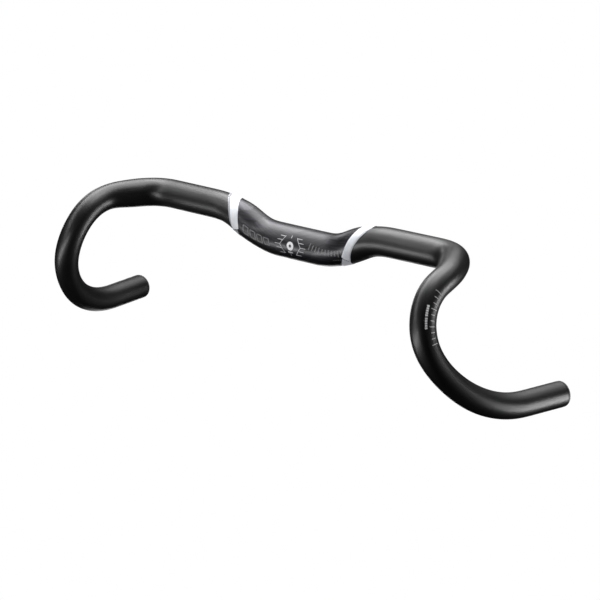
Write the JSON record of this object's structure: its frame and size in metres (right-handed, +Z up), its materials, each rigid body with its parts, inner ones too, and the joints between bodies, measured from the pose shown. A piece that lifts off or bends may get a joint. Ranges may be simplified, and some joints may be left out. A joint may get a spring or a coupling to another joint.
{
  "type": "drop handlebar",
  "caption": "Flared drop handlebar in black carbon with a dipped, tapered centre, white tape at the finish joints and expanding end plugs.",
  "frame": {"origin": "centre of the stem's clamp zone, on the tube's axis", "axes": "-Y forwards over the hooks, +Y back towards the rider where the bar ends point, +Z up with the drops horizontal, +X across the bicycle towards the rider's left hand. Right and left in the node names are as seen from in front, so right is +X."},
  "size_m": [0.5558, 0.1523, 0.1465],
  "materials": {
    "clear_coat_carbon": "dark carbon under clear coat",
    "satin_carbon": "satin black lacquer over carbon",
    "bare_carbon": "sanded for bonding",
    "white_tape": "smooth adhesive tape",
    "black_nylon": "moulded, fine grain",
    "grey_rubber": "moulded",
    "plain_aluminium": "turned",
    "black_steel": "blackened"
  },
  "bodies": {
    "bar": {"centre_section": "clear_coat_carbon", "side_tube_right": "satin_carbon", "joint_sleeve_right": "bare_carbon", "tape_band_right": "white_tape", "end_cap_right": "black_nylon", "expander_right": "grey_rubber", "side_tube_left": "satin_carbon", "joint_sleeve_left": "bare_carbon", "tape_band_left": "white_tape", "end_cap_left": "black_nylon", "expander_left": "grey_rubber"},
    "plug_screw_right_body": {"plug_screw_right": "black_steel"},
    "wedge_nut_right_body": {"wedge_nut_right": "plain_aluminium"},
    "plug_screw_left_body": {"plug_screw_left": "black_steel"},
    "wedge_nut_left_body": {"wedge_nut_left": "plain_aluminium"}
  },
  "joints": [
    {"name": "plug_screw_turn_right", "type": "hinge", "parent": "bar", "child": "plug_screw_right_body", "pos_m": [0.266, 0.0485, -0.1005], "axis": [0.1399, 0.9902, 0], "range_deg": [0, 1080]},
    {"name": "wedge_nut_slide_right", "type": "slide", "parent": "bar", "child": "wedge_nut_right_body", "axis": [-0.1399, -0.9902, 0], "range_m": [0, 0.0024]},
    {"name": "plug_screw_turn_left", "type": "hinge", "parent": "bar", "child": "plug_screw_left_body", "pos_m": [-0.266, 0.0485, -0.1005], "axis": [-0.1399, 0.9902, 0], "range_deg": [0, 1080]},
    {"name": "wedge_nut_slide_left", "type": "slide", "parent": "bar", "child": "wedge_nut_left_body", "axis": [0.1399, -0.9902, 0], "range_m": [0, 0.0024]}
  ],
  "couplings": [
    {"joint": "plug_screw_turn_right", "follows": "wedge_nut_slide_right", "rad_per_m": 7854},
    {"joint": "plug_screw_turn_left", "follows": "wedge_nut_slide_left", "rad_per_m": 7854}
  ]
}
